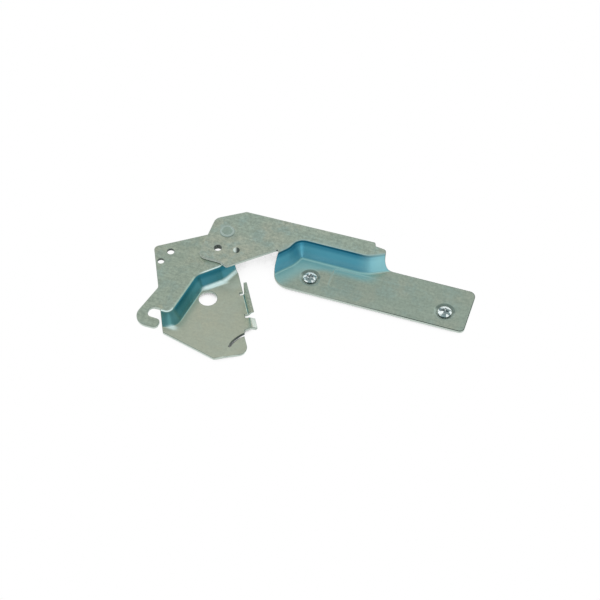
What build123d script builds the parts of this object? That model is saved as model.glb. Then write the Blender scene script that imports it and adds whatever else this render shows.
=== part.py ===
from build123d import *
import os
from math import cos, radians, sin, tan

# Dishwasher door hinge: a frame bracket and a door arm, two stampings of one gauge,
# turn against each other on a shouldered rivet. Millimetres, +Z up.
# The origin is the axis of the bracket's frame hole, on the underside of its lower plate.
# X runs along the door arm, away from the pivot, and Y runs to the rear.

# Sheet, levels and running clearances
sheet = 2.2
bracket_drop = 10.0
stack_gap = 0.15
head_gap = 0.1
pivot_clearance = 0.05
pin_clearance = 0.02
screw_clearance = 0.05

# Pivot, measured from the frame hole
pivot_x = -3.7
pivot_y = 50.5

# Pivot rivet
rivet_shoulder_d = 7.4
rivet_tenon_d = 5.6
rivet_head_d = 10.4
rivet_head_h = 0.8
rivet_head_chamfer = 0.6
rivet_dish_d = 7.0
rivet_dish_depth = 0.3
rivet_foot_d = 9.6
rivet_foot_h = 1.4
rivet_foot_bevel_w = 0.9
rivet_foot_bevel_h = 0.7

# Lock hole through both stampings, measured from the pivot
lock_hole = (-1.2, -15.8)
lock_hole_d = 5.4

# Stop pin, measured from the pivot, and its gap to the bracket's stop edge
stop_pin_x = 11.6
stop_pin_y = -14.1
stop_pin_d = 4.0
stop_gap = 0.3
stop_pin_head_d = 4.6
stop_pin_head_h = 0.7
stop_pin_head_bevel = 0.4
stop_pin_end_bevel = 0.3

# Bracket: the drawn step between its two plates
bracket_lean = 30.0
bracket_bend_r = 2.6
step_start = (-25.2, -24.5)
step_corner = (-18.7, -24.5)
step_corner_r = 2.5
step_waist = (-13.4, 10.3)
step_waist_r = 11.0
step_shoulder = (-0.3, 22.9)
step_shoulder_r = 6.0
step_end = (9.3, 44.9)

# Bracket: upper plate, pivot eye and hook
eye_r = 11.0
rear_corner = (-47.7, 23.8)
rear_corner_r = 3.5
stop_edge_low_y = 33.7
stop_edge_r = 1.0
neck = (-32.0, -8.7)
neck_r = 3.0
hook_heel = (-40.2, -41.7)
hook_heel_r = 9.0
hook_toe = (-20.7, -41.5)
hook_toe_r = 3.2
hook_tip = (-20.6, -34.1)
hook_tip_r = 2.6
hook_seat_x = -31.0
hook_seat_front = -33.5
hook_seat_rear = -25.8
hook_seat_r = 3.4
corner_hole_1 = (-35.2, 23.3)
corner_hole_1_d = 5.0
corner_hole_2 = (-38.6, 13.3)
corner_hole_2_d = 4.6

# Bracket: lower plate
frame_hole_d = 12.6
slot_corner = (-24.4, -25.1)
front_left = (-18.7, -36.6)
front_left_r = 1.5
front_point = (21.0, -46.4)
front_point_r = 2.0
tab_corner = (41.4, -33.6)
tab_corner_r = 6.5
tab_end = (34.2, -22.2)
notch_inner = (32.6, -17.6)
edge_r = 0.8
slot_width = 0.7

# Bracket: side edge, which carries the flange and the lip
side_start = (12.3, 27.0)
side_angle = -59.7
relief_depth = 2.6
relief_width = 2.1
flange_start = 19.1
flange_foot = 16.9
flange_top = 26.5
flange_height = 15.2
flange_bend_r = 2.3
flange_out = 0.2
lip_start = 39.0
lip_length = 8.8
lip_root = -0.5
lip_width = 4.0
lip_angle = 32.0
lip_bend_r = 2.0

# Bracket: lanced corner tab, freed by a curved slit and bent down a little
slit_centre = (50.1, -37.0)
slit_r = 22.9
slit_width = 1.4
slit_end_y = -34.5
tab_root_x = 26.6
tab_bend = 9.5

# Door arm, measured from the pivot: door plate and upper strip
arm_reach = 175.5
plate_front = -24.6
plate_rear = 10.9
plate_rear_r = 4.5
plate_front_r = 3.5
ear_x = 38.2
ear_r = 12.0
strip_rear = 22.3
strip_reach = 99.9
strip_corner_r = 1.2
notch_shift = 1.3
notch_rise = 1.0
stub_reach = 109.0
stub_rear = 18.2
stub_r = 2.5
web_r = 3.5
web_shift = 1.0

# Door arm: pivot end
bay = (39.4, -3.2)
bay_r = 1.2
nose = (9.5, -29.7)
nose_r = 2.0
tail_front = (4.5, -27.0)
tail_front_r = 4.0
tail_tip = (-11.9, -26.7)
tail_tip_r = 4.5
lobe = (-11.8, 9.0)
lobe_r = 6.0
lobe_peak = (6.8, 21.2)
lobe_peak_r = 2.0

# Door arm: the drawn step between strip and plate
arm_lean = 26.0
arm_top_bend_r = 2.2
arm_foot_bend_r = 3.2
wall_y = 11.3
wall_start = (24.0, -22.0)
wall_knee = (43.2, 0.5)
wall_knee_r = 12.0
wall_turn_x = 47.5
wall_turn_r = 10.5
wall_end_x = 98.0
wall_end_r = 14.0
wall_tail = 21.5
wall_tail_angle = 28.0

# Door screws and the dimples that seat them
screw_y = -11.5
screw_first_x = 63.8
screw_end_margin = 16.3
screw_head_d = 9.4
screw_head_h = 2.4
screw_dome = 1.4
screw_shank_d = 5.0
screw_end_d = 4.4
screw_grip = 2.4
screw_length = 5.0
screw_chamfer = 0.5
recess_span = 5.0
recess_width = 1.2
recess_depth = 1.3
dimple_floor_r = 5.6
dimple_rim_r = 7.6
dimple_depth = 1.2
dimple_bend_r = 1.4

# Pressed field in the door plate
field_first_gap = 13.2
field_end_gap = 15.2
field_front_y = -15.5
field_width = 17.1
field_depth = 0.5
field_slope = 0.9
field_r = 2.0

# Levels and places that follow from the sizes above
bracket_under = bracket_drop
bracket_top = bracket_drop + sheet
arm_under = bracket_top + stack_gap
arm_top = arm_under + sheet
pivot = Pos(pivot_x, pivot_y, 0)
stop_edge_x = pivot_x + stop_pin_x - stop_pin_d / 2 - stop_gap
flange_root = flange_out + sheet / 2 - flange_bend_r
screw_seat = sheet - dimple_depth
screw_last_x = arm_reach - screw_end_margin
screw_pitch = screw_last_x - screw_first_x
field_start_x = screw_first_x + field_first_gap
field_length = screw_last_x - field_end_gap - field_start_x
far = 120.0
lead = 0.5


def outline(corners):
    """Closed face through corners given as (x, y, corner radius)."""
    points = [(x, y) for x, y, radius in corners]
    radii = [radius for x, y, radius in corners]
    return make_face(FilletPolyline(*points, radius=radii, close=True).edges())


def prism(face, bottom, top):
    return Pos(0, 0, bottom) * extrude(face, top - bottom, dir=(0, 0, 1))


def rod(place, diameter, bottom, top):
    return Pos(*place, (bottom + top) / 2) * Cylinder(diameter / 2, top - bottom)


def turned(profile):
    """Solid of revolution about Z through (radius, height) points."""
    return revolve(Plane.XZ * make_face(Polyline(*profile, close=True).edges()), Axis.Z)


def sheet_section(middle, bends):
    """Cross-section of bent sheet about its middle line, with one radius for each bend."""
    points = [Vector(*point) for point in middle]
    runs = [(end - start).normalized() for start, end in zip(points, points[1:])]
    lefts = [Vector(-run.Y, run.X) for run in runs]
    mitres = [(a + b) * (1 / (1 + a.dot(b))) for a, b in zip(lefts, lefts[1:])]
    normals = [lefts[0], *mitres, lefts[-1]]
    turns = [1 if a.cross(b).Z > 0 else -1 for a, b in zip(runs, runs[1:])]
    sides = []
    for offset in (sheet / 2, -sheet / 2):
        corners = [point + normal * offset for point, normal in zip(points, normals)]
        radii = [bend - turn * offset for bend, turn in zip(bends, turns)]
        sides.append(FilletPolyline(*corners, radius=radii))
    ends = [Line(sides[0] @ at, sides[1] @ at) for at in (0, 1)]
    return make_face([edge for line in sides + ends for edge in line.edges()])


def across(path, section):
    """Stand a section at the start of a path, with its x to the right of travel and y up."""
    travel = path % 0
    right = Vector(travel.Y, -travel.X, 0)
    return Plane(origin=path @ 0, x_dir=right, z_dir=-travel) * section


def stepped_sheet(blank, path, far_side, drop, lean, top_r, foot_r):
    """One sheet cut to a blank and drawn down along a path; the low side is right of travel."""
    half_turn = tan(radians((90 - lean) / 2))
    top_corner = top_r * half_turn
    foot_corner = top_corner + drop * tan(radians(lean))
    run = foot_corner + foot_r * half_turn
    middle = [
        (-lead, drop + sheet / 2),
        (top_corner, drop + sheet / 2),
        (foot_corner, sheet / 2),
        (run + lead, sheet / 2),
    ]
    tall = drop + 4 * sheet
    closing = Polyline(path @ 1, *far_side, path @ 0)
    high_side = make_face(path.edges() + closing.edges())
    above = prism(high_side, -tall, tall)
    band = sweep(across(path, Pos(run / 2, 0) * Rectangle(run, 2 * tall)), path)
    step = sweep(across(path, sheet_section(middle, [top_r, foot_r])), path)
    upper = prism(blank, drop, drop + sheet) & above
    lower = prism(blank, 0, sheet) - above - band
    return upper + (step & prism(blank, -tall, tall)) + lower


def beside(along, out):
    """Point beside the bracket's lower plate: along its side edge and out from it."""
    turn = radians(side_angle)
    x = side_start[0] + along * cos(turn) - out * sin(turn)
    y = side_start[1] + along * sin(turn) + out * cos(turn)
    return (x, y)


def side_strip(middle, bends, start, length):
    """Bent strip along the bracket's side edge, drawn as out and height."""
    along = Vector(cos(radians(side_angle)), sin(radians(side_angle)), 0)
    out = Vector(-along.Y, along.X, 0)
    stand = Plane(origin=(*beside(start, 0), 0), x_dir=out, z_dir=along)
    return extrude(stand * sheet_section(middle, bends), length, dir=along)


def bracket_blank():
    flange_end = flange_start + flange_foot
    lip_end = lip_start + lip_length
    plate = outline([
        (*rear_corner, rear_corner_r),
        (pivot_x - eye_r / 2, pivot_y, 0),
        (stop_edge_x, pivot_y - eye_r / 2, 0),
        (stop_edge_x, stop_edge_low_y, stop_edge_r),
        (*side_start, stop_edge_r),
        (*beside(flange_start - relief_width, 0), edge_r / 2),
        (*beside(flange_start - relief_width, -relief_depth), edge_r / 2),
        (*beside(flange_start, -relief_depth), edge_r / 2),
        (*beside(flange_start, flange_root), 0),
        (*beside(flange_end, flange_root), 0),
        (*beside(flange_end, -relief_depth), edge_r / 2),
        (*beside(lip_start, -relief_depth), edge_r / 2),
        (*beside(lip_start, lip_root), 0),
        (*beside(lip_end, lip_root), 0),
        (*notch_inner, edge_r),
        (*tab_end, edge_r),
        (*tab_corner, tab_corner_r),
        (*front_point, front_point_r),
        (*front_left, front_left_r),
        (*slot_corner, edge_r),
        (hook_seat_x, hook_seat_rear, hook_seat_r),
        (hook_seat_x, hook_seat_front, hook_seat_r),
        (*hook_tip, hook_tip_r),
        (*hook_toe, hook_toe_r),
        (*hook_heel, hook_heel_r),
        (*neck, neck_r),
    ])
    return plate + Pos(pivot_x, pivot_y) * Circle(eye_r)


def bracket_sheet():
    """Both plates and the step between them. The slot keeps the hook on the upper side."""
    path = FilletPolyline(
        step_start, step_corner, step_waist, step_shoulder, step_end,
        radius=[step_corner_r, step_waist_r, step_shoulder_r],
    )
    slot_x = (front_left[0] + hook_toe[0]) / 2
    far_side = [
        (step_end[0], far),
        (-far, far),
        (-far, -far),
        (slot_x, -far),
        (slot_x, front_left[1] - slot_width),
        (slot_x - slot_width, hook_tip[1]),
    ]
    return stepped_sheet(
        bracket_blank(), path, far_side, bracket_drop, bracket_lean, bracket_bend_r, bracket_bend_r
    )


def flange():
    """Upright flange, longer at its top than at its bend."""
    wall = flange_out + sheet / 2
    middle = [
        (flange_root - lead, sheet / 2),
        (wall, sheet / 2),
        (wall, flange_height),
    ]
    strip = side_strip(middle, [flange_bend_r], flange_start, flange_top)
    along = Vector(cos(radians(side_angle)), sin(radians(side_angle)), 0)
    out = Vector(-along.Y, along.X, 0)
    flat = Plane(origin=(*beside(flange_start, 0), 0), x_dir=along, z_dir=-out)
    slanted_end = make_face(Polyline(
        (flange_foot, -lead),
        (flange_foot, sheet),
        (flange_top, flange_height),
        (flange_top + lead, flange_height),
        (flange_top + lead, -lead),
        close=True,
    ).edges())
    return strip - extrude(flat * slanted_end, 4 * flange_bend_r, both=True)


def lip():
    """Narrow lip turned down from the side edge."""
    out_x = lip_width * cos(radians(lip_angle))
    down = lip_width * sin(radians(lip_angle))
    flat_end = lip_root + lip_bend_r * tan(radians(lip_angle / 2))
    middle = [
        (lip_root - lead, sheet / 2),
        (flat_end, sheet / 2),
        (flat_end + out_x, sheet / 2 - down),
    ]
    return side_strip(middle, [lip_bend_r], lip_start, lip_length)


def lance_corner(bracket):
    """Cut the curved slit, then bend the corner outside it down about its root."""
    ring = Circle(slit_r + slit_width / 2) - Circle(slit_r - slit_width / 2)
    rear_half = Rectangle(2 * far, far, align=(Align.CENTER, Align.MIN))
    slit = (Pos(*slit_centre) * ring) & (Pos(slit_centre[0], slit_end_y) * rear_half)
    inside = Pos(*slit_centre) * Circle(slit_r)
    root_side = Rectangle(far, far, align=(Align.MIN, Align.MAX))
    corner = prism(inside + Pos(tab_root_x, slit_end_y) * root_side, -far, far)
    freed = bracket - prism(slit, -far, far)
    root = Axis((tab_root_x, slit_end_y, sheet), (0, 1, 0))
    return (freed - corner) + (freed & corner).rotate(root, tab_bend)


def frame_bracket():
    bracket = bracket_sheet() + flange() + lip()
    bracket = lance_corner(bracket)
    bracket -= rod((0, 0), frame_hole_d, -sheet, 2 * sheet)
    bracket -= rod(corner_hole_1, corner_hole_1_d, 0, 2 * bracket_top)
    bracket -= rod(corner_hole_2, corner_hole_2_d, 0, 2 * bracket_top)
    bracket -= pivot * rod(lock_hole, lock_hole_d, 0, 2 * bracket_top)
    bracket -= pivot * rod((0, 0), rivet_tenon_d + 2 * pin_clearance, 0, 2 * bracket_top)
    return bracket


def arm_blank():
    return outline([
        (*lobe_peak, lobe_peak_r),
        (strip_reach, strip_rear, strip_corner_r),
        (strip_reach + notch_shift, stub_rear + notch_rise, edge_r),
        (stub_reach, stub_rear, stub_r),
        (stub_reach + web_shift, plate_rear, web_r),
        (arm_reach, plate_rear, plate_rear_r),
        (arm_reach, plate_front, plate_front_r),
        (ear_x, plate_front, ear_r),
        (*bay, bay_r),
        (*nose, nose_r),
        (*tail_front, tail_front_r),
        (*tail_tip, tail_tip_r),
        (*lobe, lobe_r),
    ])


def arm_sheet():
    """Strip and door plate with the step between them, which starts in the bay by the ear."""
    tail_x = wall_end_x + wall_tail * cos(radians(wall_tail_angle))
    tail_y = wall_y + wall_tail * sin(radians(wall_tail_angle))
    path = FilletPolyline(
        wall_start, wall_knee, (wall_turn_x, wall_y), (wall_end_x, wall_y), (tail_x, tail_y),
        radius=[wall_knee_r, wall_turn_r, wall_end_r],
    )
    far_side = [(tail_x, far), (-far, far), (-far, -far), (wall_start[0], -far)]
    return stepped_sheet(
        arm_blank(), path, far_side, arm_under, arm_lean, arm_top_bend_r, arm_foot_bend_r
    )


def screw_places():
    return [(screw_first_x + number * screw_pitch, screw_y) for number in range(2)]


def dimpled(arm, place):
    """Press one dish into the plate and pierce its floor for the screw."""
    floor = sheet / 2 - dimple_depth
    rim = dimple_rim_r + lead
    middle = [
        (0, floor),
        (dimple_floor_r, floor),
        (dimple_rim_r, sheet / 2),
        (rim + lead, sheet / 2),
    ]
    section = sheet_section(middle, [dimple_bend_r, dimple_bend_r])
    dish = Pos(*place, 0) * revolve(Plane.XZ * section, Axis.Z)
    arm = arm - rod(place, 2 * rim, -far, 2 * sheet) + dish
    return arm - rod(place, screw_shank_d + 2 * screw_clearance, -far, 2 * sheet)


def pressed_field():
    """The shallow tapered block that the field is sunk by."""
    centre = Pos(field_start_x + field_length / 2, field_front_y + field_width / 2)
    mouth = centre * RectangleRounded(field_length, field_width, field_r)
    floor_length = field_length - 2 * field_slope
    floor_width = field_width - 2 * field_slope
    floor = centre * RectangleRounded(floor_length, floor_width, field_r - field_slope)
    return loft([mouth.face(), (Pos(0, 0, -field_depth) * floor).face()])


def door_arm():
    arm = arm_sheet()
    for place in screw_places():
        arm = dimpled(arm, place)
    field = pressed_field()
    arm = arm + field - Pos(0, 0, sheet) * field
    arm -= rod((0, 0), rivet_shoulder_d + 2 * pivot_clearance, arm_under / 2, 2 * arm_top)
    arm -= rod(lock_hole, lock_hole_d, arm_under / 2, 2 * arm_top)
    pin_hole_d = stop_pin_d + 2 * pin_clearance
    arm -= rod((stop_pin_x, stop_pin_y), pin_hole_d, arm_under / 2, 2 * arm_top)
    return pivot * arm


def pivot_rivet():
    """Headed rivet: its shoulder stands on the bracket and its tenon is spread below it."""
    head_low = arm_top + head_gap
    head_high = head_low + rivet_head_h
    foot_low = bracket_under - rivet_foot_h
    return pivot * turned([
        (0, foot_low),
        (rivet_foot_d / 2 - rivet_foot_bevel_w, foot_low),
        (rivet_foot_d / 2, foot_low + rivet_foot_bevel_h),
        (rivet_foot_d / 2, bracket_under),
        (rivet_tenon_d / 2, bracket_under),
        (rivet_tenon_d / 2, bracket_top),
        (rivet_shoulder_d / 2, bracket_top),
        (rivet_shoulder_d / 2, head_low),
        (rivet_head_d / 2, head_low),
        (rivet_head_d / 2, head_high - rivet_head_chamfer),
        (rivet_head_d / 2 - rivet_head_chamfer, head_high),
        (rivet_dish_d / 2, head_high),
        (rivet_dish_d / 2 - rivet_dish_depth, head_high - rivet_dish_depth),
        (0, head_high - rivet_dish_depth),
    ])


def stop_pin():
    """Headed pin in the arm that reaches down beside the bracket's stop edge."""
    head_high = arm_top + stop_pin_head_h
    pin = turned([
        (0, bracket_under),
        (stop_pin_d / 2 - stop_pin_end_bevel, bracket_under),
        (stop_pin_d / 2, bracket_under + stop_pin_end_bevel),
        (stop_pin_d / 2, arm_top),
        (stop_pin_head_d / 2, arm_top),
        (stop_pin_head_d / 2, head_high - stop_pin_head_bevel),
        (stop_pin_head_d / 2 - stop_pin_head_bevel, head_high),
        (0, head_high),
    ])
    return pivot * Pos(stop_pin_x, stop_pin_y, 0) * pin


def door_screw():
    """Pan-head screw with a cross recess, its head seated at height 0."""
    head_r = screw_head_d / 2
    dome_r = (head_r ** 2 + screw_dome ** 2) / (2 * screw_dome)
    dome = Pos(0, 0, screw_head_h - dome_r) * Sphere(dome_r)
    head = rod((0, 0), screw_head_d, 0, screw_head_h) & dome
    shank = turned([
        (0, -screw_length),
        (screw_end_d / 2 - screw_chamfer, -screw_length),
        (screw_end_d / 2, screw_chamfer - screw_length),
        (screw_end_d / 2, -screw_grip - screw_chamfer),
        (screw_shank_d / 2, -screw_grip),
        (screw_shank_d / 2, lead),
        (0, lead),
    ])
    bar = Box(recess_span, recess_width, 2 * recess_depth)
    return head + shank - Pos(0, 0, screw_head_h) * (bar + Rot(0, 0, 90) * bar)


os.makedirs("parts", exist_ok=True)
export_step(frame_bracket(), "parts/frame_bracket.step")
export_step(door_arm(), "parts/door_arm.step")
export_step(pivot_rivet(), "parts/pivot_rivet.step")
export_step(stop_pin(), "parts/stop_pin.step")
for number, place in enumerate(screw_places(), start=1):
    screw = pivot * Pos(*place, screw_seat) * door_screw()
    export_step(screw, f"parts/door_screw_{number}.step")
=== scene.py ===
# %% [markdown]
# # A dishwasher door hinge in zinc-plated sheet
#
# Two stampings, a bracket for the machine's frame and an arm for its door, turn on a rivet.
# The measured model comes in as the frame. This lesson rounds the sheared edges, gives each
# piece its plating, and lights it on a white table from the photograph's angle.

# %% Load the measured model
from math import cos, radians, sin
from types import SimpleNamespace

import bmesh
import bpy
from mathutils import Matrix, Vector
from mathutils.bvhtree import BVHTree


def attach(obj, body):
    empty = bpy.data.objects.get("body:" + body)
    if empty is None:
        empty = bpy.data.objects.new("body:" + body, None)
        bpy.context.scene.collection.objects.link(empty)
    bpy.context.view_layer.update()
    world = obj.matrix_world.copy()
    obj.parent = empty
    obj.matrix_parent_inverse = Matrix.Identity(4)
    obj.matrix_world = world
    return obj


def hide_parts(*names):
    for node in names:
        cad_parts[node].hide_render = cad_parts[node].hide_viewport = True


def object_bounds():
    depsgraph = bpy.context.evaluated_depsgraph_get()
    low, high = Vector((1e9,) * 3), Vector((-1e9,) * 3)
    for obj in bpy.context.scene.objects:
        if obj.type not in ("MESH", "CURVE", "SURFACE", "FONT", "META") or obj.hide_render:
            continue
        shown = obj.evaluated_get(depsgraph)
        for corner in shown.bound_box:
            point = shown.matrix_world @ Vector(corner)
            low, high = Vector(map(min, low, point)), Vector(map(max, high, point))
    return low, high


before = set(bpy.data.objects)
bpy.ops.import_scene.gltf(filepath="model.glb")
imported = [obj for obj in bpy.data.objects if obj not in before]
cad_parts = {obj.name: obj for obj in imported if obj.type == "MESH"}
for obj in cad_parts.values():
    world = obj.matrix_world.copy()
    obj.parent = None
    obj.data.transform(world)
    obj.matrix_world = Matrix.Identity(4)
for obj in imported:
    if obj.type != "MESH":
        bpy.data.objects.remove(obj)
cad_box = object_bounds()
MM = 0.001
print("measured pieces:", sorted(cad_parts))

# %% [markdown]
# ## Sums of sockets
#
# Plating is mostly arithmetic on noise, and a long chain of Math nodes is hard to read. A small
# wrapper lets the arithmetic be written as Python, and one method adds every other node. A share
# runs from 0 to 1, and a span is the pair of values between which a share rises or falls.

# %% Wires and trees
class Wire:
    """One output socket; arithmetic on wires adds Math nodes to its tree."""

    def __init__(self, tree, socket):
        self.tree = tree
        self.socket = socket

    def sum(self, operation, first, second):
        return self.tree.add("ShaderNodeMath", {"operation": operation}, {0: first, 1: second})

    def __add__(self, other):
        return self.sum("ADD", self, other)

    def __radd__(self, other):
        return self.sum("ADD", other, self)

    def __sub__(self, other):
        return self.sum("SUBTRACT", self, other)

    def __rsub__(self, other):
        return self.sum("SUBTRACT", other, self)

    def __mul__(self, other):
        return self.sum("MULTIPLY", self, other)

    def __rmul__(self, other):
        return self.sum("MULTIPLY", other, self)


class Tree:
    """A shader tree that is filled by one method."""

    def __init__(self, owner):
        owner.use_nodes = True
        self.nodes = owner.node_tree.nodes
        self.links = owner.node_tree.links
        self.nodes.clear()

    def add(self, kind, settings=None, sockets=None, out=0):
        node = self.nodes.new(kind)
        for name, value in (settings or {}).items():
            setattr(node, name, value)
        for key, value in (sockets or {}).items():
            if isinstance(value, Wire):
                self.links.new(value.socket, node.inputs[key])
            else:
                node.inputs[key].default_value = value
        return Wire(self, node.outputs[out]) if node.outputs else None

    def blend(self, share, first, second):
        """Colour between two colours."""
        return self.add("ShaderNodeMix", {"data_type": "RGBA"}, {0: share, 6: first, 7: second}, 2)

    def level(self, value, span):
        """0 below the span, 1 above it, with a soft start and end."""
        return self.add(
            "ShaderNodeMapRange", {"interpolation_type": "SMOOTHSTEP"},
            {"Value": value, "From Min": span[0], "From Max": span[1]},
        )

    def upto(self, value, span):
        """1 below the span, 0 above it."""
        return 1.0 - self.level(value, span)

    def between(self, value, start, end):
        """Rises over the first span and falls over the second."""
        return self.level(value, start) * self.upto(value, end)

    def whole(self, shares):
        """A sum of shares, held between 0 and 1."""
        return self.level(shares, (0.0, 1.0))

    def noise(self, place, scale, detail, rough):
        return self.add(
            "ShaderNodeTexNoise", None,
            {"Vector": place, "Scale": scale, "Detail": detail, "Roughness": rough},
        )

    def dot(self, vector, direction):
        return self.add(
            "ShaderNodeVectorMath", {"operation": "DOT_PRODUCT"}, {0: vector, 1: direction}, "Value",
        )


print("shader helpers ready")

# %% [markdown]
# ## Marks of the press
#
# A press shears the outline of a sheet and draws its steps, and each leaves its own surface: a cut
# is dull, a drawn wall is stretched, a rim is rolled in. Painting these by hand would take a UV map
# for every piece. Here each face is judged by its slope and height instead, and the result is kept
# in a colour attribute that the finish reads.

# %% Press marks
UPRIGHT = 0.15
STEEP, LEVEL = 0.80, 0.97
TOP_RIM = 0.2
CUT_HEIGHT = 3 * MM
HOLE_RADIUS = 3 * MM
RIM_WIDTH = 0.4 * MM
LEAST_TURN = 0.02
LEAST_HEIGHT = 0.01 * MM
NOT_HOLLOW = 1.0


def hollow_radius(face):
    """Radius of the hollow that an upright face belongs to; large where it isn't hollow."""
    radii = []
    for edge in face.edges:
        for other in edge.link_faces:
            step = other.calc_center_median() - face.calc_center_median()
            turn = face.normal.angle(other.normal, 0.0)
            if other is not face and abs(other.normal.z) < UPRIGHT and turn > LEAST_TURN:
                if step.dot(face.normal) > 0:
                    radii.append(step.length / turn)
    return sorted(radii)[1] if len(radii) > 1 else NOT_HOLLOW


def mark_pressing(shape, rounded):
    """Store how far a face is drawn down, whether it is cut, how high on the cut, and its rim."""
    layer = shape.loops.layers.float_color.new("press")
    rims = {
        face for face in rounded
        if face.calc_area() < RIM_WIDTH * max(edge.calc_length() for edge in face.edges)
    }
    for face in shape.faces:
        lean = abs(face.normal.z)
        heights = [vert.co.z for vert in face.verts]
        low, tall = min(heights), max(heights) - min(heights)
        cut = 1.0 if lean < UPRIGHT and tall < CUT_HEIGHT and face not in rims else 0.0
        rim = (1.0 if face.normal.z > TOP_RIM else 0.5) if face in rims else 0.0
        drawn = min(max((LEVEL - lean) / (LEVEL - STEEP), 0.0), 1.0)
        if lean < UPRIGHT or rim:
            drawn = 0.0
        # In a small hole the height runs from 2 to 3 instead of 0 to 1.
        if cut and hollow_radius(face) < HOLE_RADIUS:
            low -= 2 * tall
        for loop in face.loops:
            rise = (loop.vert.co.z - low) / max(tall, LEAST_HEIGHT)
            loop[layer] = (drawn, cut, rise, rim)


print("a cut is lower than", CUT_HEIGHT / MM, "mm, a small hole is under", HOLE_RADIUS / MM, "mm in radius")

# %% [markdown]
# ## Rounded edges
#
# A press shears sheet with a small radius on one side and the plating rounds the other, so no edge
# on the real hinge is sharp. A Bevel modifier would act on the loose triangles of the measured
# pieces. So a copy of each is merged, its flat faces are joined, and its sharp edges get a narrow
# bevel. Four corners are tighter than the bevel is wide: the root of the hook's slot, the
# end of the corner tab's slit, the tab's root and the notch beside the flange. They stay sharp. The
# last line prints how far the copy strays from the measure.

# %% Dressed copies
SHARP = radians(38)
SMOOTH = radians(24)
FLAT = radians(0.3)
MERGE = 0.002 * MM
HOOK_ROOT, SLIT_END, TAB_ROOT, FLANGE_NOTCH = (-25.1, -24.8), (26.6, -34.5), (26.6, -42.7), (29.8, -4.3)
TIGHT_CORNERS = [Vector(at) * MM for at in (HOOK_ROOT, SLIT_END, TAB_ROOT, FLANGE_NOTCH)]
TIGHT_REACH = 1.2 * MM


def is_tight(edge):
    """Whether an edge ends at a corner that is too tight to round."""
    return any((vert.co.xy - at).length < TIGHT_REACH for vert in edge.verts for at in TIGHT_CORNERS)


def is_rounded(edge):
    return edge.is_manifold and edge.calc_face_angle() > SHARP and not is_tight(edge)


def dressed(node, body, finish, edge_round):
    """A copy of a measured piece with merged faces and rounded edges, in its place."""
    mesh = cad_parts[node].data.copy()
    mesh.name = node + "_dressed"
    shape = bmesh.new()
    shape.from_mesh(mesh)
    bmesh.ops.remove_doubles(shape, verts=shape.verts, dist=MERGE)
    bmesh.ops.dissolve_limit(shape, angle_limit=FLAT, verts=shape.verts, edges=shape.edges)
    measured = BVHTree.FromBMesh(shape)
    edges = [edge for edge in shape.edges if is_rounded(edge)]
    rounding = bmesh.ops.bevel(
        shape, geom=edges, offset=edge_round, offset_type="OFFSET", affect="EDGES",
        segments=2, profile=0.5, material=-1, clamp_overlap=False,
    )
    strays = [measured.find_nearest(vert.co)[3] for vert in shape.verts]
    bmesh.ops.triangulate(shape, faces=[face for face in shape.faces if len(face.verts) > 4])
    for face in shape.faces:
        face.smooth = True
    mark_pressing(shape, [face for face in rounding["faces"] if face.is_valid])
    shape.to_mesh(mesh)
    shape.free()
    mesh.materials.clear()
    mesh.materials.append(finish)
    mesh.set_sharp_from_angle(angle=SMOOTH)
    piece = bpy.data.objects.new(node + "_dressed", mesh)
    bpy.context.scene.collection.objects.link(piece)
    weigh = piece.modifiers.new("even_shading", "WEIGHTED_NORMAL")
    weigh.keep_sharp = True
    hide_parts(node)
    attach(piece, body)
    print(piece.name, "edges rounded:", len(edges), "farthest stray, mm:", round(max(strays) / MM, 3))


print("corners left sharp:", len(TIGHT_CORNERS))

# %% [markdown]
# ## Zinc plating
#
# Bright zinc on rolled sheet is a soft grey mirror. A thin passivation layer tints it in faint
# patches of green, pink and blue, and rolling leaves fine lines along the sheet. A photograph of
# sheet would fix one pattern and one light. Noise gives the same patches at any scale, and noise
# drawn out along one direction gives the rolling lines. Both also disturb the roughness and, very
# slightly, the surface. Where zinc is cut it scatters light instead of mirroring it. The places where
# light and shade are painted in are also dull, so that their colour shows as painted. Each piece says
# where it is dull, and Metallic falls there.

# %% Zinc finish
CLOUD_SCALE, PATCH_SCALE, GRAIN_SCALE = 34.0, 75.0, 520.0
ROLLING_SCALE = (90.0, 700.0, 700.0)
GRAIN_SHADE = (0.30, 0.38, 0.32, 1)
BUMP_STRENGTH, BUMP_DEPTH = 0.10, 0.05 * MM


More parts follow.
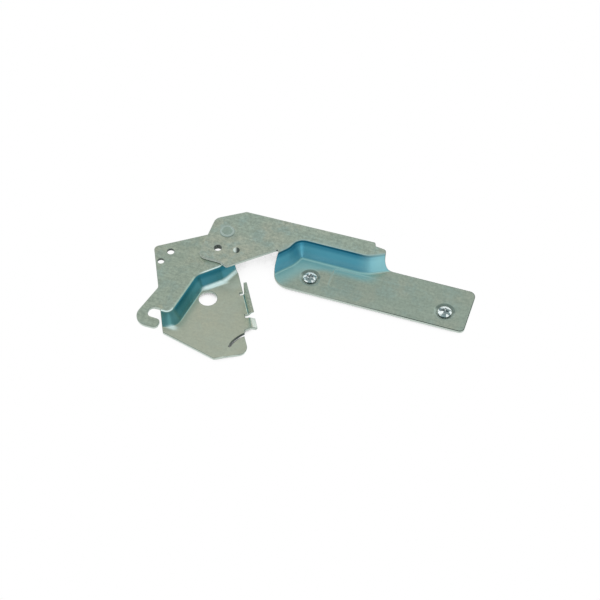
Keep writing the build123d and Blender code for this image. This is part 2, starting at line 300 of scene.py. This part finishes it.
def zinc(name, gloss, roll_angle, areas):
    """A plated finish; areas() gives one piece's colour and its dull share."""
    metal = bpy.data.materials.new(name)
    tree = Tree(metal)
    place = tree.add("ShaderNodeTexCoord", out="Object")
    rolled_out = tree.add("ShaderNodeMapping", None, {
        "Vector": place, "Rotation": (0, 0, radians(roll_angle)), "Scale": ROLLING_SCALE,
    })
    patches = tree.noise(place, PATCH_SCALE, 4.0, 0.65)
    rolling = tree.noise(rolled_out, 1.0, 3.0, 0.7)
    grain = tree.noise(place, GRAIN_SCALE, 4.0, 0.75)

    def plating(grey, tan, blue):
        clouds = tree.noise(place, CLOUD_SCALE, 2.0, 0.55)
        colour = tree.blend(tree.level(clouds, (0.42, 0.66)), grey, tan)
        colour = tree.blend(tree.level(patches, (0.46, 0.66)) * 0.6, colour, blue)
        shade = tree.level(grain, (0.32, 0.68)) * 0.55 + tree.level(rolling, (0.30, 0.75)) * 0.30
        return tree.blend(shade, colour, GRAIN_SHADE)

    colour, dull = areas(tree, place, plating)
    roughness = gloss + 0.10 * patches + 0.06 * rolling + 0.05 * grain
    bump = tree.add("ShaderNodeBump", None, {
        "Strength": BUMP_STRENGTH, "Distance": BUMP_DEPTH, "Height": 0.5 * rolling + 0.5 * grain,
    })
    shader = tree.add("ShaderNodeBsdfPrincipled", None, {
        "Base Color": colour, "Metallic": 1.0 - dull, "Roughness": roughness, "Normal": bump,
    })
    tree.add("ShaderNodeOutputMaterial", None, {"Surface": shader})
    print("finish:", metal.name, "nodes:", len(tree.nodes))
    return metal


# %% [markdown]
# ## Places on a piece
#
# The finish differs from place to place: a wall, a foot, the ring round a rivet, and much of it is
# painted light and shade. A hand-painted mask would need a UV map. Every piece sits at the origin,
# so its Object coordinates are the measures of the hinge itself, and a place can be given in
# millimetres, as on a drawing.

# %% Places on a piece
def along(tree, place, direction):
    """How far a point lies along a direction."""
    return tree.dot(place, Vector(direction) / MM)


def plan_distance(tree, place, centre):
    """Distance from an upright line through centre."""
    in_plan = tree.add(
        "ShaderNodeVectorMath", {"operation": "MULTIPLY"}, {0: place, 1: (1 / MM, 1 / MM, 0)},
    )
    return tree.add(
        "ShaderNodeVectorMath", {"operation": "DISTANCE"}, {0: in_plan, 1: (*centre, 0)}, "Value",
    )


MARK_NAMES = ("drawn", "cut", "rise", "rim")


def press_marks(tree):
    """The marks that mark_pressing stored, by name."""
    colour = tree.add("ShaderNodeAttribute", {"attribute_name": "press"}, out="Color")
    first_three = tree.add("ShaderNodeSeparateColor", None, {"Color": colour}).socket.node.outputs
    sockets = [*first_three, colour.socket.node.outputs["Alpha"]]
    return {name: Wire(tree, socket) for name, socket in zip(MARK_NAMES, sockets)}


def spot(tree, place):
    """Where a point of a sheet lies, and how the press left it."""
    return SimpleNamespace(
        height=along(tree, place, (0, 0, 1)),
        to_rear=along(tree, place, (0, 1, 0)),
        to_right=along(tree, place, (1, 0, 0)),
        **press_marks(tree),
    )


print("press marks:", MARK_NAMES)

# %% [markdown]
# ## Cut edges
#
# A sheared edge has a rim that the punch rolled in, painted with a dark line of painted shade, a
# burnished band and a paler lower rim. Inside a small hole the cut is painted dark as shade. One
# function serves both stampings, because both are cut alike.

# %% Cut edges
BURNISHED = (0.50, 0.58, 0.52, 1)
HOLE_SHADE = (0.045, 0.06, 0.05, 1)
LOWER_RIM = (0.42, 0.50, 0.45, 1)
IN_HOLE = (1.5, 1.6)
ANY_RIM = (0.1, 0.4)
UPPER_RIM = (0.6, 0.9)
DULL_SHARE = 0.85
WALL_FOOT = (2.2, 2.4)
BEND_SLOPE = (0.05, 0.5)


def sheared(tree, at, colour, rim_shade):
    """Colour and dull share with the cut edges added; the last argument is the upper rim's colour, a
    painted shade line.
    """
    # Inside a small hole the cut band is painted dark as shade, and the upper rim gets a painted shade
    # line.
    band = tree.blend(tree.level(at.rise, IN_HOLE), BURNISHED, HOLE_SHADE)
    colour = tree.blend(at.cut, colour, band)
    any_rim = tree.level(at.rim, ANY_RIM)
    colour = tree.blend(any_rim, colour, LOWER_RIM)
    colour = tree.blend(tree.level(at.rim, UPPER_RIM), colour, rim_shade)
    return colour, (at.cut + any_rim) * DULL_SHARE


def by_height(tree, height, foot, rising):
    """A wall's colour: foot at the bottom, then each (span, colour) as the height rises."""
    wall = foot
    for span, colour in rising:
        wall = tree.blend(tree.level(height, span), wall, colour)
    return wall


print("a cut edge is dull by", DULL_SHARE)

# %% [markdown]
# ## Frame bracket
#
# The bracket is screwed to the machine's frame. One blow of the press cuts its outline, hook and
# big hole, and another draws the step between its two levels. Its wall is painted by height and
# place: partly the blue of its passivation, partly a painted reflection of the blue room, and darker
# towards the top as painted shade under the bend. Painted highlights lie on the ends of the top bend
# and along the foot, and a painted reflection of the wall lies on the plate beside the long wall.
# Separate materials for wall and plate would leave a hard line between them, so one finish fades
# from one to the other by height and place.

# %% Bracket wall, painted highlights and slit shade
# Wall colours by height: partly the blue passivation, partly a painted reflection of the blue room, darker
# towards the top as painted shade under the bend.
BRACKET_FOOT = (0.20, 0.41, 0.41, 1)
BRACKET_WALL = (((2.4, 5.5), (0.135, 0.41, 0.46, 1)), ((7.0, 10.0), (0.055, 0.28, 0.34, 1)))
BRACKET_FRONT_WALL = (0.18, 0.36, 0.30, 1)
PAST_HOLE, UNDER_PIVOT = (0.693, -0.72, 0), (0.916, -0.40, 0)
SLIT_CENTRE, SLIT_INNER, SLIT_OUTER = (50.1, -37.0), (21.6, 21.9), (24.0, 24.3)
SLIT_FRONT = (-36.0, -35.0)


def bracket_foot_highlights(tree, place, at):
    """Painted highlights on the foot of the step: by the big hole, under the arm, at the heel."""
    by_hole = tree.between(along(tree, place, PAST_HOLE), (-11.0, -9.4), (-8.0, -5.0))
    by_hole = by_hole * tree.between(at.to_rear, (2.0, 9.0), (16.0, 19.0))
    corner = tree.between(along(tree, place, UNDER_PIVOT), (-4.6, -3.0), (-1.6, 1.0))
    corner = corner * tree.level(at.to_rear, (16.5, 19.0))
    heel = tree.between(at.to_rear, (-34.5, -31.5), (-30.0, -28.0))
    heel = heel * tree.between(at.to_right, (-22.0, -15.0), (-14.0, -7.0))
    return by_hole + corner + 0.7 * heel


def bracket_slit(tree, place, at):
    """Painted shade on the cut along the arc of the corner tab's slit."""
    arc = tree.between(plan_distance(tree, place, SLIT_CENTRE), SLIT_INNER, SLIT_OUTER)
    return arc * tree.level(at.to_rear, SLIT_FRONT) * tree.whole(at.cut + at.rim)


print("bracket wall colours:", 1 + len(BRACKET_WALL))

# %% Frame bracket
BRACKET_TINTS = ((0.57, 0.68, 0.56, 1), (0.66, 0.69, 0.54, 1), (0.49, 0.67, 0.62, 1))
BRACKET_RIM_SHADE = (0.21, 0.26, 0.22, 1)
LOWER_PLATE = (0.65, 0.69, 0.56, 1)
WALL_REFLECTION_TINT = (0.27, 0.43, 0.36, 1)
LONG_BEND_SHADE = (0.34, 0.48, 0.43, 1)
PAINTED_HIGHLIGHT = (0.74, 0.93, 0.92, 1)
UNDER_ARM_FILL, UNDER_ARM_CENTRE = (0.36, 0.43, 0.37, 1), (10.5, 20.0)
LIP_HIGHLIGHT = (0.88, 0.96, 0.89, 1)
SLIT_SHADE = (0.05, 0.07, 0.06, 1)
BRACKET_LOW, BRACKET_WALL_TOP, BRACKET_BEND = (2.0, 5.0), (11.2, 11.6), (11.3, 11.7)
UPPER_END, FRONT_END = (8.0, 15.0), (-24.0, -20.0)
PAST_LONG_WALL = (0.989, -0.151, 0)


def bracket_areas(tree, place, plating):
    at = spot(tree, place)
    low = tree.upto(at.height, BRACKET_LOW)
    colour = tree.blend(low * 0.6, plating(*BRACKET_TINTS), LOWER_PLATE)
    upper = tree.level(at.to_rear, UPPER_END)
    front = tree.upto(at.to_rear, FRONT_END)
    ends = upper + front
    # Painted reflection of the wall on the plate beside the long wall.
    beside_wall = tree.upto(along(tree, place, PAST_LONG_WALL), (-6.5, -1.0))
    long_wall_reflection = low * beside_wall * (1.0 - upper) * tree.level(at.to_rear, (-33.0, -26.0))
    colour = tree.blend(long_wall_reflection * 0.55, colour, WALL_REFLECTION_TINT)
    wall = by_height(tree, at.height, BRACKET_FOOT, BRACKET_WALL)
    wall = tree.blend(front * 0.7, wall, BRACKET_FRONT_WALL)
    on_wall = at.drawn * tree.between(at.height, WALL_FOOT, BRACKET_WALL_TOP)
    colour = tree.blend(on_wall, colour, wall)
    bend = tree.level(at.drawn, BEND_SLOPE) * tree.level(at.height, BRACKET_BEND)
    # Painted shade on the top bend along the long wall.
    colour = tree.blend(bend * (1.0 - ends) * 0.6, colour, LONG_BEND_SHADE)
    # Painted highlights on the ends of the top bend and on the foot of the step.
    highlight_share = tree.whole(bend * ends * 0.9 + bracket_foot_highlights(tree, place, at) * low)
    colour = tree.blend(highlight_share, colour, PAINTED_HIGHLIGHT)
    # Painted light: a dull patch of plate tone under the arm, in place of the dark reflection of the arm's
    # underside.
    under_arm_fill = low * tree.upto(plan_distance(tree, place, UNDER_ARM_CENTRE), (5.0, 12.0))
    colour = tree.blend(under_arm_fill * (1.0 - highlight_share) * 0.7, colour, UNDER_ARM_FILL)
    # Painted highlight: the turned lip is painted near white and dull.
    lip = at.drawn * tree.upto(at.height, (1.9, 2.19))
    colour = tree.blend(lip, colour, LIP_HIGHLIGHT)
    colour, dull = sheared(tree, at, colour, BRACKET_RIM_SHADE)
    # Painted shade along the slit.
    colour = tree.blend(bracket_slit(tree, place, at), colour, SLIT_SHADE)
    return colour, tree.whole(dull + DULL_SHARE * highlight_share + DULL_SHARE * lip + 0.7 * under_arm_fill)


bracket_zinc = zinc("bracket_zinc", 0.22, 60.0, bracket_areas)
dressed("frame_bracket", "frame", bracket_zinc, edge_round=0.32 * MM)

# %% [markdown]
# ## Door arm
#
# The arm carries the door. It is cut and drawn as the bracket is, and its door plate also has two
# dimples, so that the screw heads sit low, and a shallow pressed field that stiffens it. Its wall
# is painted by height: partly the blue of its passivation, partly a painted reflection of the blue
# room, with painted shade under the top bend and a painted highlight at its right end. The plate's
# corner beside the wall carries a painted reflection of the wall. The tail, which lies on the
# bracket, has its cut edge and rims painted pale, painted light that keeps the edge as bright as the
# plate, so it hardly shows.

# %% Arm wall, field, tail and dimples
# Wall colours by height: partly the blue passivation, partly a painted reflection of the blue room; the
# darkest band is painted shade under the top bend.
ARM_FOOT = (0.19, 0.45, 0.47, 1)
ARM_WALL = (
    ((2.5, 3.6), (0.23, 0.55, 0.64, 1)),
    ((4.5, 8.0), (0.17, 0.51, 0.61, 1)),
    ((9.5, 12.3), (0.08, 0.34, 0.45, 1)),
    ((12.8, 13.4), (0.015, 0.15, 0.22, 1)),
)
END_HIGHLIGHT = (0.60, 0.90, 0.85, 1)
SCREW_PLACES = ((60.1, 39.0), (155.5, 39.0))
DIMPLE_RIM = (7.7, 8.1)
FIELD_LEFT, FIELD_RIGHT, FIELD_DEPTH = (68.0, 69.0), (143.0, 144.0), (2.19, 2.25)
PAST_KNEE, PAST_TAIL = (-0.76, 0.65, 0), (0.5, 1, 0)


def corner_wall_reflection(tree, place, at, low):
    """The plate's corner beside the wall, where a reflection of the wall is painted."""
    corner = tree.level(at.to_rear, (43.0, 53.0))
    facet = tree.level(along(tree, place, PAST_KNEE), (-22.0, -8.0))
    return low * tree.upto(at.to_right, (92.0, 108.0)) * tree.whole(corner + 0.8 * facet)


def field_edges(tree, at):
    """The sloping border of the pressed field, where painted light is strongest at its left and rear."""
    border = tree.level(at.drawn, (0.1, 0.4)) * tree.upto(at.height, FIELD_DEPTH)
    border = border * tree.between(at.to_right, FIELD_LEFT, FIELD_RIGHT)
    border = border * (1.0 - 0.9 * tree.level(at.to_right, (85.0, 110.0)))
    return border * (0.45 + 0.55 * tree.level(at.to_rear, (35.5, 40.0)))


def arm_tail(tree, place, at):
    """The end that lies on the bracket."""
    front = tree.upto(along(tree, place, PAST_TAIL), (25.5, 27.0))
    left = tree.upto(at.to_right, (-13.0, -11.0)) * tree.upto(at.to_rear, (44.0, 46.0))
    return tree.whole(front + left)


def screw_dimples(tree, place, at):
    """The slopes of the dimples, which carry painted light and shade."""
    near = [tree.upto(plan_distance(tree, place, screw), DIMPLE_RIM) for screw in SCREW_PLACES]
    return (near[0] + near[1]) * tree.level(at.drawn, (0.02, 0.3))


print("arm wall colours:", 1 + len(ARM_WALL), "dimples:", len(SCREW_PLACES))

# %% Door arm
ARM_TINTS = ((0.59, 0.72, 0.61, 1), (0.68, 0.73, 0.60, 1), (0.49, 0.71, 0.69, 1))
DOOR_PLATE = (0.38, 0.48, 0.41, 1)
CORNER_REFLECTION_BLUE = (0.36, 0.72, 0.74, 1)
BEND_HIGHLIGHT = (0.45, 0.62, 0.65, 1)
FIELD_SIDE_HIGHLIGHT, FIELD_REAR_REFLECTION = (0.29, 0.395, 0.345, 1), (0.22, 0.43, 0.43, 1)
DIMPLE_FRONT_LIGHT, DIMPLE_REAR_SHADE = (0.33, 0.42, 0.37, 1), (0.10, 0.15, 0.13, 1)
TAIL_CUT_LIGHT, TAIL_RIM_LIGHT = (0.56, 0.61, 0.56, 1), (0.35, 0.39, 0.35, 1)
LIGHT_RIM_SHADE, DEEP_RIM_SHADE = (0.30, 0.35, 0.31, 1), (0.010, 0.022, 0.018, 1)
ARM_LOW, ARM_WALL_TOP, ARM_BEND = (2.0, 6.0), (13.9, 14.15), (13.95, 14.2)


def arm_areas(tree, place, plating):
    at = spot(tree, place)
    low = tree.upto(at.height, ARM_LOW)
    colour = tree.blend(low * 0.38, plating(*ARM_TINTS), DOOR_PLATE)
    # Painted reflection of the wall on the plate's corner beside it.
    colour = tree.blend(corner_wall_reflection(tree, place, at, low) * 0.85, colour, CORNER_REFLECTION_BLUE)
    wall = by_height(tree, at.height, ARM_FOOT, ARM_WALL)
    # Painted highlight at the wall's right end.
    wall = tree.blend(tree.level(at.to_right, (86.0, 104.0)) * 0.65, wall, END_HIGHLIGHT)
    on_wall = at.drawn * tree.between(at.height, WALL_FOOT, ARM_WALL_TOP)
    colour = tree.blend(on_wall, colour, wall)
    bend = tree.level(at.drawn, BEND_SLOPE) * tree.level(at.height, ARM_BEND)
    # Painted highlight along the top bend.
    colour = tree.blend(bend * 0.8, colour, BEND_HIGHLIGHT)
    # Painted highlight on the field's sloping border, with a painted reflection on its rear slope.
    field_light = field_edges(tree, at)
    pale = tree.blend(tree.level(at.to_rear, (49.0, 50.5)), FIELD_SIDE_HIGHLIGHT, FIELD_REAR_REFLECTION)
    colour = tree.blend(field_light, colour, pale)
    dimple = screw_dimples(tree, place, at)
    # Painted light on the front slope of each dimple and painted shade on its rear slope.
    dimple_shading = tree.blend(tree.level(at.to_rear, (38.5, 41.5)), DIMPLE_FRONT_LIGHT, DIMPLE_REAR_SHADE)
    colour = tree.blend(dimple * 0.85, colour, dimple_shading)
    # Painted light: the tail's cut edge and rims are painted pale, so the edge renders as bright as the
    # plate.
    tail_edge_light = tree.blend(at.cut, colour, TAIL_CUT_LIGHT)
    tail_edge_light = tree.blend(tree.level(at.rim, ANY_RIM), tail_edge_light, TAIL_RIM_LIGHT)
    # Painted shade on the upper rim, darker towards the right.
    rim_shade = tree.blend(tree.level(at.to_right, (50.0, 140.0)), LIGHT_RIM_SHADE, DEEP_RIM_SHADE)
    edged, dull = sheared(tree, at, colour, rim_shade)
    colour = tree.blend(arm_tail(tree, place, at), edged, tail_edge_light)
    return colour, dull + field_light * 0.9 + dimple * 0.7


arm_zinc = zinc("arm_zinc", 0.24, 14.0, arm_areas)
dressed("door_arm", "arm", arm_zinc, edge_round=0.32 * MM)

# %% [markdown]
# ## Pivot rivet
#
# The two sheets turn on a rivet whose head is pressed nearly flat. Only its rim catches the light,
# a dull ring round a grey disc. The ring is a painted highlight in the finish, measured from the
# rivet's axis, because the head's own rounding is too narrow to carry it.

# %% Pivot rivet
PIVOT = (-3.7, 50.5)
RIVET_TINTS = ((0.60, 0.74, 0.65, 1), (0.64, 0.74, 0.62, 1), (0.54, 0.72, 0.68, 1))
RIVET_DISC, RIVET_RING_HIGHLIGHT = (0.38, 0.51, 0.45, 1), (0.36, 0.45, 0.41, 1)
RING_INNER = (3.4, 3.9)


def rivet_areas(tree, place, plating):
    colour = tree.blend(0.6, plating(*RIVET_TINTS), RIVET_DISC)
    ring = tree.level(plan_distance(tree, place, PIVOT), RING_INNER)
    return tree.blend(ring, colour, RIVET_RING_HIGHLIGHT), 0.8 * ring


rivet_zinc = zinc("rivet_zinc", 0.30, 30.0, rivet_areas)
dressed("pivot_rivet", "frame", rivet_zinc, edge_round=0.15 * MM)

# %% [markdown]
# ## Stop pin
#
# The small pin beside the rivet is taken for a stop of the arm. Its head looks bright on one side
# and dark on the other. It is a few pixels wide in the picture, so no dome is modelled for that:
# the finish paints a highlight on one side of the head and shade on the other.

# %% Stop pin
PIN_HIGHLIGHT, PIN_SHADE = (0.66, 0.76, 0.71, 1), (0.05, 0.07, 0.06, 1)
PIN_DULL = 0.7
ACROSS_PIN, PIN_MIDDLE = (0.95, 0.31, 0), (17.7, 19.6)


def pin_areas(tree, place, plating):
    side = tree.level(along(tree, place, ACROSS_PIN), PIN_MIDDLE)
    return tree.blend(side, PIN_HIGHLIGHT, PIN_SHADE), PIN_DULL


pin_zinc = zinc("pin_zinc", 0.30, 30.0, pin_areas)
dressed("stop_pin", "arm", pin_zinc, edge_round=0.12 * MM)

# %% [markdown]
# ## Door screws
#
# Two pan-head screws with a cross recess hold the door. Their heads carry painted highlights:
# glints spread by noise and a bright crescent at the rear of the head. The recess is painted dark as
# shade.

# %% Door screws
SCREW_GREY, SCREW_GLINT = (0.26, 0.35, 0.36, 1), (0.90, 0.98, 0.97, 1)
RECESS_SHADE = (0.06, 0.09, 0.10, 1)
GLINT_SCALE = 420.0
HEAD_REAR = (40.6, 41.8)


def screw_areas(tree, place, plating):
    # Painted highlights: noise glints and a crescent at the rear of the head; painted shade in the recess.
    glint = tree.level(tree.noise(place, GLINT_SCALE, 1.0, 0.4), (0.47, 0.60))
    crescent = tree.level(along(tree, place, (0, 1, 0)), HEAD_REAR)
    bright = tree.whole(glint + crescent)
    colour = tree.blend(bright, SCREW_GREY, SCREW_GLINT)
    return tree.blend(press_marks(tree)["cut"], colour, RECESS_SHADE), 0.25 + 0.6 * bright


screw_zinc = zinc("screw_zinc", 0.10, 15.0, screw_areas)
for number in (1, 2):
    dressed(f"door_screw_{number}", "arm", screw_zinc, edge_round=0.12 * MM)

# %% [markdown]
# ## White table
#
# The hinge lies on a plain white table that runs into a white room. A lit table would turn grey
# towards its edges, so the camera sees it glow, and ambient occlusion gives the soft shadow under
# the hinge. The metal mirrors the table as white only near the hinge, and farther out as the blue
# of the room, because a real table ends.

# %% Table
ROOM_BLUE = (0.30, 0.45, 0.54, 1)
NEAR_WHITE = (0.95, 1.0, 0.97, 1)
DEEP_SHADOW, LIGHT_SHADOW = (0.01, 0.015, 0.015, 1), (0.95, 0.95, 0.95, 1)
SHADOW_REACH = 80 * MM
TABLE_HALF = 4.0
TABLE_CENTRE, TABLE_END = (60, 15), (130, 220)
TABLE_GAP = 0.05 * MM


def table_paint():
    paint = bpy.data.materials.new("table_white")
    tree = Tree(paint)
    place = tree.add("ShaderNodeTexCoord", out="Object")
    away = plan_distance(tree, place, TABLE_CENTRE)
    mirrored = tree.blend(tree.level(away, TABLE_END), NEAR_WHITE, ROOM_BLUE)
    open_sky = tree.add("ShaderNodeAmbientOcclusion", None, {"Distance": SHADOW_REACH}, "AO")
    seen = tree.blend(tree.level(open_sky, (0.08, 0.24)), DEEP_SHADOW, LIGHT_SHADOW)
    seen = tree.blend(tree.level(open_sky, (0.24, 0.50)), seen, (1, 1, 1, 1))
    matt = tree.add("ShaderNodeBsdfDiffuse", None, {"Color": (0.9, 0.9, 0.9, 1)})
    glossy_rays = tree.add("ShaderNodeLightPath", out="Is Glossy Ray")
    camera_rays = Wire(tree, glossy_rays.socket.node.outputs["Is Camera Ray"])
    glow = tree.add("ShaderNodeEmission", None, {
        "Color": tree.blend(glossy_rays, seen, mirrored), "Strength": 1.0,
    })
    both = tree.add("ShaderNodeMixShader", None, {0: glossy_rays + camera_rays, 1: matt, 2: glow})
    tree.add("ShaderNodeOutputMaterial", None, {"Surface": both})
    return paint


def white_table(height):
    mesh = bpy.data.meshes.new("table")
    shape = bmesh.new()
    bmesh.ops.create_grid(shape, x_segments=1, y_segments=1, size=TABLE_HALF)
    bmesh.ops.translate(shape, verts=shape.verts, vec=(0, 0, height))
    shape.to_mesh(mesh)
    shape.free()
    mesh.materials.append(table_paint())
    table = bpy.data.objects.new("table", mesh)
    bpy.context.scene.collection.objects.link(table)
    print("table height, mm:", round(height / MM, 2))


white_table(cad_box[0][2] - TABLE_GAP)

# %% [markdown]
# ## Studio
#
# Metal shows what stands around it. The level faces mirror the upper part of the room, and the
# drawn walls mirror what is low down in front. Lamps alone would leave the metal black between
# them. So the mirrored room is grey above and a calm blue at the horizon, with a pale strip high
# in front, one window low at the front right and one higher at the rear right. Everything that
# isn't mirrored is lit by plain white, so that a colour renders about as it is written.

# %% Room
ROOM_GREY = (0.60, 0.60, 0.59, 1)
PALE_STRIP = (0.80, 0.86, 0.86, 1)
FRONT_WINDOW, FRONT_WINDOW_LIGHT = (0.56, -0.83, 0), (0.90, 1.12, 1.25, 1)
REAR_WINDOW, REAR_WINDOW_LIGHT = (0.562, 0.591, 0.577), (1.2, 1.25, 1.2, 1)


def room():
    world = bpy.data.worlds.new("studio")
    bpy.context.scene.world = world
    tree = Tree(world)
    toward = tree.add("ShaderNodeTexCoord", out="Generated")
    height = tree.dot(toward, (0, 0, 1))
    above = tree.level(tree.dot(toward, (0, 0.3, 1)), (0.10, 0.60))
    colour = tree.blend(above, ROOM_BLUE, ROOM_GREY)
    strip = tree.level(height, (0.74, 0.92)) * tree.level(tree.dot(toward, (0, -1, 0)), (0.02, 0.35))
    colour = tree.blend(strip, colour, PALE_STRIP)
    front = tree.level(tree.dot(toward, FRONT_WINDOW), (0.955, 0.99)) * tree.upto(height, (0.15, 0.40))
    colour = tree.blend(front, colour, FRONT_WINDOW_LIGHT)
    rear = tree.level(tree.dot(toward, REAR_WINDOW), (0.94, 0.985))
    colour = tree.blend(rear, colour, REAR_WINDOW_LIGHT)
    mirrored = tree.add("ShaderNodeLightPath", out="Is Glossy Ray")
    colour = tree.blend(mirrored, (1, 1, 1, 1), colour)
    light = tree.add("ShaderNodeBackground", None, {"Color": colour, "Strength": 1.0})
    tree.add("ShaderNodeOutputWorld", None, {"Surface": light})
    print("room:", world.name)


room()

# %% [markdown]
# ## Soft box
#
# One weak soft box at the upper left gives the bends a direction. A small hard lamp would put a
# sharp spark on every edge.

# %% Soft box
BOX_PLACE = Vector((-0.85, 0.10, 0.75))
BOX_AIM = Vector((0.06, 0.03, 0.01))
BOX_SIZE = (0.5, 0.3)
BOX_WATTS = 0.8


def soft_box():
    lamp = bpy.data.lights.new("soft_box", "AREA")
    lamp.shape = "RECTANGLE"
    lamp.size, lamp.size_y = BOX_SIZE
    lamp.energy = BOX_WATTS
    box = bpy.data.objects.new("soft_box", lamp)
    bpy.context.scene.collection.objects.link(box)
    box.location = BOX_PLACE
    box.rotation_euler = (BOX_AIM - BOX_PLACE).to_track_quat("-Z", "Y").to_euler()
    print("lamp:", box.name, BOX_WATTS, "W")


soft_box()

# %% [markdown]
# ## Camera
#
# The photograph looks down on the hinge from the front, a little from the right. A camera could be
# set by eye. Here its place follows from the rivet: its pixel, its distance and the two viewing
# angles, so that the picture can be laid over the photograph.

# %% Photograph's view
VIEW_SIDE = radians(18.2)
VIEW_HEIGHT = radians(51.5)
VIEW_DISTANCE = 1200 * MM
PICTURE = 600
PIXELS_PER_M = 1450
SENSOR = 36
RIVET_PIXEL = (227.3, 231.3)
RIVET_TOP = Vector((*PIVOT, 14.6)) * MM


def photograph_camera():
    right = Vector((cos(VIEW_SIDE), sin(VIEW_SIDE), 0))
    ahead = Vector((
        -sin(VIEW_SIDE) * cos(VIEW_HEIGHT), cos(VIEW_SIDE) * cos(VIEW_HEIGHT), -sin(VIEW_HEIGHT),
    ))
    up = right.cross(ahead)
    across = (RIVET_PIXEL[0] - PICTURE / 2) / PIXELS_PER_M
    above = (PICTURE / 2 - RIVET_PIXEL[1]) / PIXELS_PER_M
    lens = bpy.data.cameras.new("photograph")
    lens.sensor_width = SENSOR
    lens.lens = SENSOR * PIXELS_PER_M * VIEW_DISTANCE / PICTURE
    lens.clip_start = 0.01
    lens.clip_end = 20
    camera = bpy.data.objects.new("photograph", lens)
    bpy.context.scene.collection.objects.link(camera)
    turn = Matrix((right, up, -ahead)).transposed().to_4x4()
    place = RIVET_TOP - ahead * VIEW_DISTANCE - right * across - up * above
    camera.matrix_world = Matrix.Translation(place) @ turn
    bpy.context.scene.camera = camera
    print("camera lens:", round(lens.lens, 1))


photograph_camera()
bpy.context.scene.view_settings.view_transform = "Standard"
